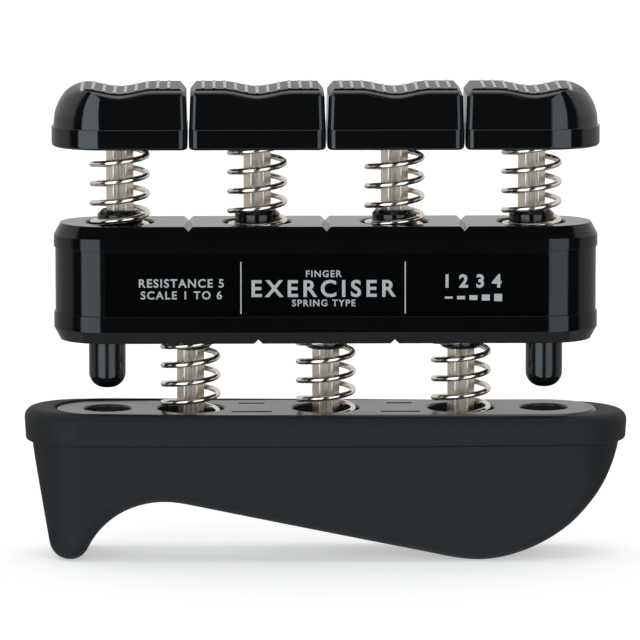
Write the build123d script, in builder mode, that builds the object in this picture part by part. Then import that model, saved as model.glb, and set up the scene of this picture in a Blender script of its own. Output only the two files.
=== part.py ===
from build123d import *
from math import atan, cos, degrees, pi, radians, sin, sqrt
import os

# A spring hand exerciser, standing upright on its palm grip. Millimetres.
# X runs along the row of finger buttons, Y through the thickness, Z up.
# The origin is the middle of the footprint, on the surface that the grip stands on.
# Three bodies are stacked: the rubber palm grip with its hard insert and three palm rods,
# the housing that slides on those rods, and four buttons that slide in the housing.

os.makedirs("parts", exist_ok=True)

# Layout along the row
FINGER_PITCH = 19.0
FINGER_X = [(i - 1.5) * FINGER_PITCH for i in range(4)]
PALM_PITCH = 18.8
PALM_X = [(i - 1) * PALM_PITCH for i in range(3)]
POST_X = 30.35

# Heights of the stack
RIM_BOTTOM = 16.2
BASE_TOP = 20.5
HOUSING_BOTTOM = 30.35
LOWER_SEAM = 34.2
UPPER_SEAM = 43.3
HOUSING_TOP = 46.6
BUTTON_BOTTOM = 57.2
BAND_TOP = 60.0
BUTTON_TOP = 65.6

# Palm grip
GRIP_LENGTH = 83.8
GRIP_DEPTH = 18.3
GRIP_BOW = 0.9  # how much deeper the grip is at the middle than near its ends, each side
RIM_STEP_END = 0.9
RIM_STEP_SIDE = 0.45
RIM_RISE = 0.3  # the rim stands this much proud at the foot end and dips as much at the heel
RIM_ROUND = 1.4
GRIP_DRAFT = 2.5
GRIP_REST_TRIM = 0.04  # shaved off the foot and the heel so that each rests on a narrow flat
RIM_JOIN = 0.8  # how far the body reaches up inside the rim

# Side view of the grip's underside, as (x, z): the foot, the thumb arch, a straight ramp, the heel
FOOT_START = (-38.45, 2.32)
FOOT_RADIUS = 2.84
FOOT_TURN = 144.4
ARCH = ((-29.2, 6.15), (-21.9, 8.22), (-17.5, 7.52))
RAMP_END = (13.0, 1.31)
HEEL = ((21.0, -GRIP_REST_TRIM), (29.4, 2.05), (35.0, 6.0), (39.2, 12.0))
HEEL_LEAN = (0.22, 1)

# Base insert
INSERT_LENGTH = 75.4
INSERT_DEPTH = 14.5
INSERT_BOTTOM = 12.0
INSERT_BEVEL = 0.35
WELL_DIAMETER = 9.3
PALM_SEAT = 16.35
POST_HOLE_DIAMETER = 6.6
POST_HOLE_BOTTOM = 13.3
HOLE_ROUND = 0.3
SLOT_X = 10.3
SLOT_Y = 3.9
SLOT_WIDTH = 0.9
FRONT_SLOT_LENGTH = 5.5
BACK_SLOT_LENGTH = 3.6
SLOT_DEPTH = 1.5
SOCKET_BOTTOM = 12.6

# Housing: two caps and a slightly smaller sleeve, all with round ends
CAP_LENGTH = 75.4
CAP_DEPTH = 14.5
SLEEVE_STEP = 0.2
HOUSING_WALL = 1.2
BEVEL_RUN = 0.9
BEVEL_DROP = 1.7
SPIGOT_WALL = 1.0
SPIGOT_LENGTH = 1.5
SPIGOT_CLEARANCE = 0.05
TOP_PLATE_BOTTOM = 44.0
BOTTOM_PLATE_TOP = 31.65
NOTCH_WIDTH = 1.2
NOTCH_DEPTH = 0.62
SEAT_DIAMETER = 9.4
FINGER_SEAT = 45.2
HOUSING_PALM_SEAT = 31.55
BOSS_DIAMETER = 10.6
BOSS_TOP = 32.5
LABEL_LENGTH = 61.2
LABEL_BOTTOM = 34.3
LABEL_TOP = 42.75
LABEL_THICKNESS = 0.12
LABEL_CORNER = 0.4

# Guide posts
POST_DIAMETER = 5.1
POST_TIP = 23.45
POST_ROUND = 2.1
POST_STEM_DIAMETER = 4.0

# Bushings: collars with a hexagonal bore and a flange inside the housing
COLLAR_DIAMETER = 6.2
FLANGE_DIAMETER = 8.4
FINGER_COLLAR_TIP = 48.35
FINGER_COLLAR_BEVEL = 0.6
FINGER_FLANGE_BOTTOM = 43.0
PALM_COLLAR_TIP = 28.85
PALM_COLLAR_ROUND = 1.1
PALM_FLANGE_TOP = 33.4
BORE_CLEARANCE = 0.05

# Hexagonal rods and their end stops
ROD_FLATS = 3.3
ROD_EDGE_ROUND = 0.15
ROD_END_CHAMFER = 0.1
FINGER_ROD_TOP = 63.0
STOP_GAP = 0.02
WASHER_DIAMETER = 5.2
WASHER_HOLE = 2.2
WASHER_THICKNESS = 0.5
SCREW_HEAD_DIAMETER = 4.0
SCREW_HEAD_HEIGHT = 1.1
SCREW_SHANK = 1.6
SCREW_LENGTH = 4.0
SCREW_SLOT = 0.6
SCREW_CLEARANCE = 0.05

# Springs
WIRE = 0.8
SPRING_OUTSIDE = 8.4
SPRING_TURNS = 5.9

# Finger buttons
BUTTON_GAP = 0.16
BAND_PROUD = 0.25  # at the front, the back and the round ends
BAND_SIDE_PROUD = 0.05  # at the square sides, where the upper part is drafted
SIDE_DRAFT = 0.15
BUTTON_CORNER_ROUND = 0.9
BAND_CORNER_ROUND = 1.2
BUTTON_BOTTOM_ROUND = 0.5
CORNER_RUN = 0.7
CORNER_DROP = 0.8
FIELD_DEPTH = 11.4  # the raised ribbed field on top
FIELD_INSET = 0.15  # from the side walls
SHOULDER_DROP = 0.25  # the shoulder round the field lies this much lower
SHOULDER_ROUND = 0.75
SHOULDER_TURNS = (0, 22.5, 45, 67.5, 90)
DIP_WIDTH = 9.8
DIP_DEPTH = 0.7
END_RUN = 4.0  # how far the outer end of an end button leans in at its top
ROUND_HANDLE = 0.5523  # length of the handles that bend a curve into a quarter circle of radius 1
SQUARE_HANDLE = 0.71  # the same for the squarer plan of the end at its top
RIB_PITCH = 1.485
RIB_WIDTH = 0.4
RIB_HEIGHT = 0.12
RIB_LENGTH = 11.2
RIB_COUNT = 11
RIB_ROOT = 64.3
RIB_END_SHIFT = 0.87
BUTTON_SEAT = 61.2
BUTTON_BOSS_DIAMETER = 5.6
BUTTON_BOSS_BOTTOM = 58.4
POCKET_TOP = 62.0
POCKET_WIDTH = 1.8
POCKET_X = 7.0
POCKET_DEPTH = 11.0
POCKET_END_DEPTH = 6.0
LEAN_STEPS = (0, 0.3, 0.55, 0.75, 0.9, 0.985)

# Worked out from the sizes above
BUTTON_WIDTH = FINGER_PITCH - BUTTON_GAP
BUTTON_DEPTH = CAP_DEPTH
SLEEVE_LENGTH = CAP_LENGTH - 2 * SLEEVE_STEP
SLEEVE_DEPTH = CAP_DEPTH - 2 * SLEEVE_STEP
BEVEL_ANGLE = degrees(atan(BEVEL_RUN / BEVEL_DROP))
SPRING_RADIUS = (SPRING_OUTSIDE - WIRE) / 2
FINGER_STOP = FINGER_FLANGE_BOTTOM - STOP_GAP
PALM_STOP = PALM_FLANGE_TOP + STOP_GAP
UP = (0, 0, 1)
DOWN = (0, 0, -1)
TOLERANCE = 0.01
RIGHT_ANGLE = 90
NEARLY_UPRIGHT = 0.99


def write(piece, name):
    """Label a finished piece and write its STEP file."""
    piece.part.label = name
    export_step(piece.part, f"parts/{name}.step")


def level(z, x=0.0, facing=UP):
    """A work plane at height z, centred on x."""
    return Plane(origin=(x, 0, z), x_dir=(1, 0, 0), z_dir=facing)


def boat(length, depth):
    """Plan outline of the grip: bowed sides that run smoothly into round ends."""
    half_length, half_depth = length / 2, depth / 2
    corner_y = half_depth - GRIP_BOW
    turn = 2 * atan(GRIP_BOW / (half_length - corner_y))
    corner_x = half_length - corner_y / cos(turn) * (1 - sin(turn))
    with BuildSketch(mode=Mode.PRIVATE) as outline:
        with BuildLine():
            back = ThreePointArc((-corner_x, corner_y), (0, half_depth), (corner_x, corner_y))
            TangentArc((corner_x, corner_y), (corner_x, -corner_y), tangent=back % 1)
            front = ThreePointArc((corner_x, -corner_y), (0, -half_depth), (-corner_x, -corner_y))
            TangentArc((-corner_x, -corner_y), (-corner_x, corner_y), tangent=front % 1)
        make_face()
    return outline.sketch


def make_palm_grip():
    """Rubber moulding: a foot at one end, an arch for the web of the thumb, a heel bulge."""
    body_length = GRIP_LENGTH - 2 * RIM_STEP_END
    body_depth = GRIP_DEPTH - 2 * RIM_STEP_SIDE
    join = RIM_BOTTOM + RIM_JOIN
    side_top = (-body_length / 2, join)
    ramp_slope = (1, (RAMP_END[1] - ARCH[-1][1]) / (RAMP_END[0] - ARCH[-1][0]))
    with BuildPart() as grip:
        with BuildSketch(Plane.XZ.offset(-GRIP_DEPTH / 2)):
            with BuildLine():
                side = Line(side_top, FOOT_START)
                foot = JernArc(side @ 1, side % 1, FOOT_RADIUS, FOOT_TURN)
                arch = Spline(foot @ 1, *ARCH, tangents=(foot % 1, ramp_slope))
                ramp = Line(arch @ 1, RAMP_END)
                heel = Spline(ramp @ 1, *HEEL, (body_length / 2, join),
                              tangents=(ramp_slope, HEEL_LEAN))
                Line(heel @ 1, side_top)
            make_face()
        extrude(amount=GRIP_DEPTH)
        with BuildSketch(level(join, facing=DOWN)):
            add(boat(body_length, body_depth))
        extrude(amount=join + GRIP_REST_TRIM, taper=GRIP_DRAFT, mode=Mode.INTERSECT)
        with BuildSketch(level(RIM_BOTTOM)):
            add(boat(GRIP_LENGTH, GRIP_DEPTH))
        extrude(amount=BASE_TOP + 2 * RIM_RISE - RIM_BOTTOM)
        slope = RIM_RISE / (GRIP_LENGTH / 2)
        split(bisect_by=Plane(origin=(0, 0, BASE_TOP), z_dir=(slope, 0, 1)), keep=Keep.BOTTOM)
        split(bisect_by=Plane.XY, keep=Keep.TOP)
        with BuildSketch(level(INSERT_BOTTOM)):
            SlotOverall(INSERT_LENGTH, INSERT_DEPTH)
        extrude(amount=BASE_TOP, mode=Mode.SUBTRACT)
        rim_top = grip.faces().sort_by(Axis.Z)[-1]
        fillet(rim_top.outer_wire().edges(), RIM_ROUND)
    write(grip, "palm_grip")


def make_base_insert():
    """Hard plate moulded into the grip: spring wells, post holes, rod sockets and slots."""
    with BuildPart() as insert:
        with BuildSketch(level(INSERT_BOTTOM)):
            SlotOverall(INSERT_LENGTH, INSERT_DEPTH)
        extrude(amount=BASE_TOP - INSERT_BOTTOM)
        chamfer(insert.faces().sort_by(Axis.Z)[-1].edges(), INSERT_BEVEL)
        with BuildSketch(level(BASE_TOP)):
            with Locations(*[(x, 0) for x in PALM_X]):
                Circle(WELL_DIAMETER / 2)
        extrude(amount=PALM_SEAT - BASE_TOP, mode=Mode.SUBTRACT)
        with BuildSketch(level(BASE_TOP)):
            with Locations((-POST_X, 0), (POST_X, 0)):
                Circle(POST_HOLE_DIAMETER / 2)
        extrude(amount=POST_HOLE_BOTTOM - BASE_TOP, mode=Mode.SUBTRACT)
        mouths = insert.faces().sort_by(Axis.Z)[-1].inner_wires()
        fillet([edge for wire in mouths for edge in wire.edges()], HOLE_ROUND)
        with BuildSketch(level(BASE_TOP)):
            for y, length in ((-SLOT_Y, FRONT_SLOT_LENGTH), (SLOT_Y, BACK_SLOT_LENGTH)):
                with Locations((-SLOT_X, y), (SLOT_X, y)):
                    Rectangle(length, SLOT_WIDTH)
        extrude(amount=-SLOT_DEPTH, mode=Mode.SUBTRACT)
        with BuildSketch(level(PALM_SEAT)):
            with Locations(*[(x, 0) for x in PALM_X]):
                RegularPolygon(ROD_FLATS / 2, 6, major_radius=False)
        extrude(amount=SOCKET_BOTTOM - PALM_SEAT, mode=Mode.SUBTRACT)
    write(insert, "base_insert")


def make_hex_rod(name, x, bottom, top, stop_end):
    """Hexagonal rod, a flat to the front, with a screw hole in the end that holds the stop."""
    with BuildPart() as rod:
        with BuildSketch(level(bottom, x)):
            RegularPolygon(ROD_FLATS / 2, 6, major_radius=False)
        extrude(amount=top - bottom)
        fillet(rod.edges().filter_by(Axis.Z), ROD_EDGE_ROUND)
        chamfer(rod.faces().sort_by(Axis.Z)[-1].edges(), ROD_END_CHAMFER)
        chamfer(rod.faces().sort_by(Axis.Z)[0].edges(), ROD_END_CHAMFER)
        with BuildSketch(level(stop_end, x)):
            Circle(SCREW_SHANK / 2 + SCREW_CLEARANCE)
        inward = SCREW_LENGTH if stop_end == bottom else -SCREW_LENGTH
        extrude(amount=inward, mode=Mode.SUBTRACT)
    write(rod, name)


def make_washers(name, centres, seat, facing):
    """Stop washers, each lying on a bushing's flange."""
    with BuildPart() as washers:
        for x in centres:
            with BuildSketch(level(seat, x, facing)):
                Circle(WASHER_DIAMETER / 2)
                Circle(WASHER_HOLE / 2, mode=Mode.SUBTRACT)
            extrude(amount=WASHER_THICKNESS)
    write(washers, name)


def make_screws(name, centres, seat, facing):
    """Slotted pan-head screws that hold the stop washers on the rods."""
    with BuildPart() as screws:
        for x in centres:
            with BuildSketch(level(seat, x, facing)):
                Circle(SCREW_HEAD_DIAMETER / 2)
            extrude(amount=SCREW_HEAD_HEIGHT)
            with BuildSketch(level(seat, x, facing)):
                Circle(SCREW_SHANK / 2)
            extrude(amount=-(SCREW_LENGTH + WASHER_THICKNESS - SCREW_CLEARANCE))
            with BuildSketch(level(seat, x, facing).offset(SCREW_HEAD_HEIGHT)):
                Rectangle(SCREW_HEAD_DIAMETER, SCREW_SLOT)
            extrude(amount=-SCREW_HEAD_HEIGHT / 2, mode=Mode.SUBTRACT)
        outer = screws.edges().filter_by(GeomType.CIRCLE).filter_by(
            lambda edge: abs(edge.radius - SCREW_HEAD_DIAMETER / 2) < TOLERANCE)
        tops = outer.group_by(Axis.Z)[-1 if facing == UP else 0]
        fillet(tops, SCREW_HEAD_HEIGHT / 4)
    write(screws, name)


def make_bushing(name, x, tip, seat, flange_end, soften, amount):
    """Collar with a hexagonal bore: the collar shows, the flange sits inside the housing.

    soften is fillet or chamfer, and is worked on the collar's free rim.
    """
    outward = UP if tip > seat else DOWN
    with BuildPart() as bushing:
        with BuildSketch(level(seat, x, outward)):
            Circle(COLLAR_DIAMETER / 2)
        extrude(amount=abs(tip - seat))
        rim = bushing.faces().sort_by(Axis.Z)[-1 if outward == UP else 0]
        soften(rim.edges(), amount)
        with BuildSketch(level(flange_end, x, outward)):
            Circle(FLANGE_DIAMETER / 2)
        extrude(amount=abs(seat - flange_end))
        with BuildSketch(level(flange_end, x, outward)):
            RegularPolygon(ROD_FLATS / 2 + BORE_CLEARANCE, 6, major_radius=False)
        extrude(amount=abs(tip - flange_end), mode=Mode.SUBTRACT)
    write(bushing, name)


def make_spring(name, x, bottom, top):
    """Right-handed compression spring of round wire."""
    height = top - bottom - WIRE
    start = bottom + WIRE / 2
    with BuildPart() as spring:
        with BuildLine():
            coil = Helix(height / SPRING_TURNS, height, SPRING_RADIUS, center=(x, 0, start))
        with BuildSketch(Plane(origin=coil @ 0, z_dir=coil % 0)):
            Circle(WIRE / 2)
        sweep(path=coil, is_frenet=True)
    write(spring, name)


def notches(centres, height):
    """Diamonds whose one half cuts V grooves into the face at that height."""
    across, deep = NOTCH_WIDTH / 2, NOTCH_DEPTH
    with BuildSketch(mode=Mode.PRIVATE) as outline:
        for x in centres:
            with BuildLine():
                Polyline((x - across, height), (x, height - deep), (x + across, height),
                         (x, height + deep), close=True)
            make_face()
    return outline.sketch


def cap_shell(seam, face, plate, outward):
    """Shell of a housing cap: round-ended plate with a bevelled face, a wall and a spigot."""
    wall_height = abs(face - seam) - BEVEL_DROP
    hollow = (CAP_LENGTH - 2 * (SLEEVE_STEP + HOUSING_WALL + SPIGOT_CLEARANCE),
              CAP_DEPTH - 2 * (SLEEVE_STEP + HOUSING_WALL + SPIGOT_CLEARANCE))
    inner = (hollow[0] - 2 * SPIGOT_WALL, hollow[1] - 2 * SPIGOT_WALL)
    work = level(seam, 0, outward)
    with BuildPart() as cap:
        with BuildSketch(work):
            SlotOverall(CAP_LENGTH, CAP_DEPTH)
        extrude(amount=wall_height)
        with BuildSketch(work.offset(wall_height)):
            SlotOverall(CAP_LENGTH, CAP_DEPTH)
        extrude(amount=BEVEL_DROP, taper=BEVEL_ANGLE)
        with BuildSketch(work):
            SlotOverall(*hollow)
        extrude(amount=-SPIGOT_LENGTH)
        with BuildSketch(work.offset(-SPIGOT_LENGTH)):
            SlotOverall(*inner)
        extrude(amount=abs(plate - seam) + SPIGOT_LENGTH, mode=Mode.SUBTRACT)
    return cap


def make_top_cap():
    """Top cap: finger spring seats, collar holes and notches that part the four fingers."""
    shell = cap_shell(UPPER_SEAM, HOUSING_TOP, TOP_PLATE_BOTTOM, UP)
    with BuildPart() as cap:
        add(shell.part)
        with BuildSketch(level(FINGER_SEAT)):
            with Locations(*[(x, 0) for x in FINGER_X]):
                Circle(SEAT_DIAMETER / 2)
        extrude(amount=HOUSING_TOP, mode=Mode.SUBTRACT)
        with BuildSketch(level(UPPER_SEAM)):
            with Locations(*[(x, 0) for x in FINGER_X]):
                Circle(COLLAR_DIAMETER / 2)
        extrude(amount=HOUSING_TOP, mode=Mode.SUBTRACT)
        mouths = cap.edges().filter_by(GeomType.CIRCLE).group_by(Axis.Z)[-1]
        fillet([e for e in mouths if abs(e.radius - SEAT_DIAMETER / 2) < TOLERANCE], HOLE_ROUND)
        with BuildSketch(Plane.XZ.offset(-CAP_DEPTH)):
            add(notches([x + FINGER_PITCH / 2 for x in FINGER_X[:-1]], HOUSING_TOP))
        extrude(amount=2 * CAP_DEPTH, mode=Mode.SUBTRACT)
    write(cap, "housing_top_cap")


def make_bottom_cap():
    """Bottom cap: palm spring seats with bosses for the bushings, and post holes."""
    shell = cap_shell(LOWER_SEAM, HOUSING_BOTTOM, BOTTOM_PLATE_TOP, DOWN)
    with BuildPart() as cap:
        add(shell.part)
        with BuildSketch(level(HOUSING_PALM_SEAT)):
            with Locations(*[(x, 0) for x in PALM_X]):
                Circle(BOSS_DIAMETER / 2)
        extrude(amount=BOSS_TOP - HOUSING_PALM_SEAT)
        with BuildSketch(level(HOUSING_PALM_SEAT)):
            with Locations(*[(x, 0) for x in PALM_X]):
                Circle(SEAT_DIAMETER / 2)
        extrude(amount=-HOUSING_BOTTOM, mode=Mode.SUBTRACT)
        with BuildSketch(level(HOUSING_BOTTOM)):
            with Locations(*[(x, 0) for x in PALM_X]):
                Circle(COLLAR_DIAMETER / 2)
            with Locations((-POST_X, 0), (POST_X, 0)):
                Circle(POST_STEM_DIAMETER / 2)
        extrude(amount=BOSS_TOP - HOUSING_BOTTOM, mode=Mode.SUBTRACT)
        mouths = cap.edges().filter_by(GeomType.CIRCLE).group_by(Axis.Z)[0]
        fillet([e for e in mouths if abs(e.radius - SEAT_DIAMETER / 2) < TOLERANCE], HOLE_ROUND)
        with BuildSketch(Plane.XZ.offset(-CAP_DEPTH)):
            add(notches([x + PALM_PITCH / 2 for x in PALM_X[:-1]], HOUSING_BOTTOM))
        extrude(amount=2 * CAP_DEPTH, mode=Mode.SUBTRACT)
    write(cap, "housing_bottom_cap")


def make_sleeve():
    """Plain sleeve between the two caps."""
    with BuildPart() as sleeve:
        with BuildSketch(level(LOWER_SEAM)):
            SlotOverall(SLEEVE_LENGTH, SLEEVE_DEPTH)
            SlotOverall(SLEEVE_LENGTH - 2 * HOUSING_WALL, SLEEVE_DEPTH - 2 * HOUSING_WALL,
                        mode=Mode.SUBTRACT)
        extrude(amount=UPPER_SEAM - LOWER_SEAM)
    write(sleeve, "housing_sleeve")


def make_label():
    """Thin printed plate on the front of the sleeve."""
    with BuildPart() as label:
        with BuildSketch(Plane.XZ.offset(SLEEVE_DEPTH / 2)):
            with Locations((0, (LABEL_BOTTOM + LABEL_TOP) / 2)):
                RectangleRounded(LABEL_LENGTH, LABEL_TOP - LABEL_BOTTOM, LABEL_CORNER)
        extrude(amount=LABEL_THICKNESS)
    write(label, "front_label")


def make_guide_post(name, x):
    """Round-nosed post pressed into the bottom cap; it enters the insert as the grip closes."""
    with BuildPart() as post:
        with BuildSketch(level(POST_TIP, x)):
            Circle(POST_DIAMETER / 2)
        extrude(amount=HOUSING_BOTTOM - POST_TIP)
        fillet(post.faces().sort_by(Axis.Z)[0].edges(), POST_ROUND)
        with BuildSketch(level(HOUSING_BOTTOM, x)):
            Circle(POST_STEM_DIAMETER / 2)
        extrude(amount=BOTTOM_PLATE_TOP - HOUSING_BOTTOM)
    write(post, name)


def side_plane(x, y):
    """A work plane that faces the front, at depth y, centred on x."""
    return Plane(origin=(x, y, 0), x_dir=(1, 0, 0), z_dir=(0, -1, 0))


def button_side(left, right, drop, lean_left, lean_right):
    """Side outline of a button above its band: bevelled inner corners and a finger dip.

    drop lowers the whole top. A leaning end is left square and upright here, because its
    rounding comes from the stacked plan outlines.
    """
    top = BUTTON_TOP - drop
    dip = DIP_WIDTH / 2
    draft = SIDE_DRAFT * (top - CORNER_DROP - BAND_TOP) / (BUTTON_TOP - CORNER_DROP - BAND_TOP)
    left_corner = [(left + draft, top - CORNER_DROP), (left + draft + CORNER_RUN, top)]
    right_corner = [(right - draft - CORNER_RUN, top), (right - draft, top - CORNER_DROP)]
    if lean_left:
        left_corner = [(left, top)]
    if lean_right:
        right_corner = [(right, top)]
    with BuildSketch(mode=Mode.PRIVATE) as outline:
        with BuildLine():
            Polyline((left, BAND_TOP), *left_corner, (-dip, top))
            Spline((-dip, top), (-dip / 2, top - DIP_DEPTH / 2), (0, top - DIP_DEPTH),
                   (dip / 2, top - DIP_DEPTH / 2), (dip, top), tangents=((1, 0), (1, 0)))
            Polyline((dip, top), *right_corner, (right, BAND_TOP), (left, BAND_TOP))
        make_face()
    return outline.sketch


def round_end(line, sign, half):
    """A half-circle in plan from the line x = line, for a button's round end."""
    CenterArc((line, 0), half, -sign * RIGHT_ANGLE, 2 * RIGHT_ANGLE)


def leaning_end(line, sign, half, inset, handle):
    """Two quarter turns in plan, which the round end turns into higher up."""
    tip = line + sign * (half - inset)
    bend = line + sign * (half - inset) * handle
    side = sign * half
    Bezier((line, -side), (bend, -side), (tip, -side * (1 - handle)), (tip, 0))
    Bezier((tip, 0), (tip, side * (1 - handle)), (bend, side), (line, side))


def button_plan(left, right, depth, lean_left, lean_right, end, *shape):
    """Plan outline of a button: square inner ends, and the given kind of end where it leans."""
    half = depth / 2
    left_line = left + half if lean_left else left
    right_line = right - half if lean_right else right
    with BuildSketch(mode=Mode.PRIVATE) as outline:
        with BuildLine():
            Line((left_line, -half), (right_line, -half))
            if lean_right:
                end(right_line, 1, half, *shape)
            else:
                Line((right_line, -half), (right_line, half))
            Line((right_line, half), (left_line, half))
            if lean_left:
                end(left_line, -1, half, *shape)
            else:
                Line((left_line, half), (left_line, -half))
        make_face()
    return outline.sketch


def leaning_block(x, left, right, depth, lean_left, lean_right):
    """Block whose outer end leans in along an ellipse towards the top of the button."""
    height = (BUTTON_TOP + RIB_HEIGHT - BAND_TOP) / LEAN_STEPS[-1]
    with BuildPart() as block:
        for part in LEAN_STEPS:
            inset = END_RUN * (1 - sqrt(1 - part ** 2))
            handle = ROUND_HANDLE + (SQUARE_HANDLE - ROUND_HANDLE) * part
            with BuildSketch(level(BAND_TOP + height * part, x)):
                add(button_plan(left, right, depth, lean_left, lean_right, leaning_end, inset,
                                handle))
        loft()
    return block.part


def square_corners(block):
    """Upright edges at the square corners of a button, drafted or not."""
    lines = block.edges().filter_by(GeomType.LINE)
    upright = lines.filter_by(lambda edge: abs(edge.tangent_at(0).Z) > NEARLY_UPRIGHT)
    middle = block.center(CenterOf.BOUNDING_BOX).X
    reach = block.bounding_box().size.X / 2 - SIDE_DRAFT
    return upright.filter_by(lambda edge: abs(edge.center().X - middle) > reach)


def button_body(x, left, right, depth, lean_left, lean_right):
    """Upper part of a button: a rounded shoulder all along the front and the back."""
    stations = [(depth / 2 - SHOULDER_ROUND * (1 - cos(radians(turn))),
                 SHOULDER_DROP + SHOULDER_ROUND * (1 - sin(radians(turn))))
                for turn in SHOULDER_TURNS]
    stations += [(-y, drop) for y, drop in reversed(stations)]
    with BuildPart() as body:
        for y, drop in stations:
            with BuildSketch(side_plane(x, -y)):
                add(button_side(left, right, drop, lean_left, lean_right))
        loft(ruled=True)
        fillet(square_corners(body.part), BUTTON_CORNER_ROUND)
    return body.part


def button_field(x, left, right, lean_left, lean_right):
    """The raised field, with its fine ribs from front to back, following the finger dip."""
    with BuildPart() as ribs:
        with BuildSketch(side_plane(x, RIB_LENGTH / 2)):
            add(button_side(left, right, -RIB_HEIGHT, lean_left, lean_right))
        extrude(amount=RIB_LENGTH)
        with BuildSketch(level(RIB_ROOT, x)):
            with Locations((RIB_END_SHIFT * (lean_left - lean_right), 0)):
                with GridLocations(RIB_PITCH, 1, RIB_COUNT - 2 * (lean_left or lean_right), 1):
                    Rectangle(RIB_WIDTH, RIB_LENGTH)
        extrude(amount=BUTTON_TOP, mode=Mode.INTERSECT)
    with BuildPart() as field:
        with BuildSketch(side_plane(x, FIELD_DEPTH / 2)):
            add(button_side(left, right, 0, lean_left, lean_right))
        extrude(amount=FIELD_DEPTH)
        add(ribs)
    return field.part


def button_band(x, half, lean_left, lean_right):
    """Proud lower band of a button, with a rounded bottom edge."""
    with BuildPart() as band:
        with BuildSketch(level(BUTTON_BOTTOM, x)):
            add(button_plan(-half, half, BUTTON_DEPTH, lean_left, lean_right, round_end))
        extrude(amount=BAND_TOP - BUTTON_BOTTOM)
        fillet(square_corners(band.part), BAND_CORNER_ROUND)
        fillet(band.faces().sort_by(Axis.Z)[0].edges(), BUTTON_BOTTOM_ROUND)
    return band.part


def make_finger_button(name, x, lean_left=False, lean_right=False):
    """Moulded cap: ribbed field with a finger dip, proud lower band, hollow underside."""
    half = BUTTON_WIDTH / 2
    left = (BAND_PROUD if lean_left else BAND_SIDE_PROUD) - half
    right = half - (BAND_PROUD if lean_right else BAND_SIDE_PROUD)
    depth = BUTTON_DEPTH - 2 * BAND_PROUD
    lean = (lean_left, lean_right)
    body = button_body(x, left, right, depth, *lean)
    field = button_field(x, left + FIELD_INSET, right - FIELD_INSET, *lean)
    band = button_band(x, half, *lean)
    block = leaning_block(x, left, right, depth, *lean)
    with BuildPart() as button:
        add(body)
        add(field)
        if lean_left or lean_right:
            add(block, mode=Mode.INTERSECT)
        add(band)
        # Spring well and the boss that holds the rod
        with BuildSketch(level(BUTTON_BOTTOM, x)):
            Circle(WELL_DIAMETER / 2)
        extrude(amount=BUTTON_SEAT - BUTTON_BOTTOM, mode=Mode.SUBTRACT)
        with BuildSketch(level(BUTTON_BOSS_BOTTOM, x)):
            Circle(BUTTON_BOSS_DIAMETER / 2)
        extrude(amount=BUTTON_SEAT - BUTTON_BOSS_BOTTOM)
        with BuildSketch(level(BUTTON_BOSS_BOTTOM, x)):
            RegularPolygon(ROD_FLATS / 2, 6, major_radius=False)
        extrude(amount=FINGER_ROD_TOP - BUTTON_BOSS_BOTTOM, mode=Mode.SUBTRACT)
        # Lightening pockets either side of the well
        with BuildSketch(level(BUTTON_BOTTOM, x)):
            for sign, leaning in ((-1, lean_left), (1, lean_right)):
                with Locations((sign * POCKET_X, 0)):
                    Rectangle(POCKET_WIDTH, POCKET_END_DEPTH if leaning else POCKET_DEPTH)
        extrude(amount=POCKET_TOP - BUTTON_BOTTOM, mode=Mode.SUBTRACT)
    write(button, name)


make_palm_grip()
make_base_insert()
make_top_cap()
make_sleeve()
make_bottom_cap()
make_label()
for side, x in (("left", -POST_X), ("right", POST_X)):
    make_guide_post(f"guide_post_{side}", x)

for number, x in enumerate(FINGER_X, start=1):
    make_finger_button(f"finger_button_{number}", x, number == 1, number == len(FINGER_X))
    make_hex_rod(f"finger_rod_{number}", x, FINGER_STOP, FINGER_ROD_TOP, FINGER_STOP)
    make_washers(f"finger_stop_washer_{number}", [x], FINGER_STOP, DOWN)
    make_screws(f"finger_stop_screw_{number}", [x], FINGER_STOP - WASHER_THICKNESS, DOWN)
    make_bushing(f"finger_bushing_{number}", x, FINGER_COLLAR_TIP, TOP_PLATE_BOTTOM,
                 FINGER_FLANGE_BOTTOM, chamfer, FINGER_COLLAR_BEVEL)
    make_spring(f"finger_spring_{number}", x, FINGER_SEAT, BUTTON_SEAT)

for number, x in enumerate(PALM_X, start=1):
    make_hex_rod(f"palm_rod_{number}", x, SOCKET_BOTTOM, PALM_STOP, PALM_STOP)
    make_bushing(f"palm_bushing_{number}", x, PALM_COLLAR_TIP, BOSS_TOP, PALM_FLANGE_TOP,
                 fillet, PALM_COLLAR_ROUND)
    make_spring(f"palm_spring_{number}", x, PALM_SEAT, HOUSING_PALM_SEAT)
make_washers("palm_stop_washers", PALM_X, PALM_STOP, UP)
make_screws("palm_stop_screws", PALM_X, PALM_STOP + WASHER_THICKNESS, UP)
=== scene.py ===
import bpy
import bmesh
import numpy as np
from math import atan, cos, pi, radians, sin, tan
from mathutils import Matrix, Vector


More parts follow.
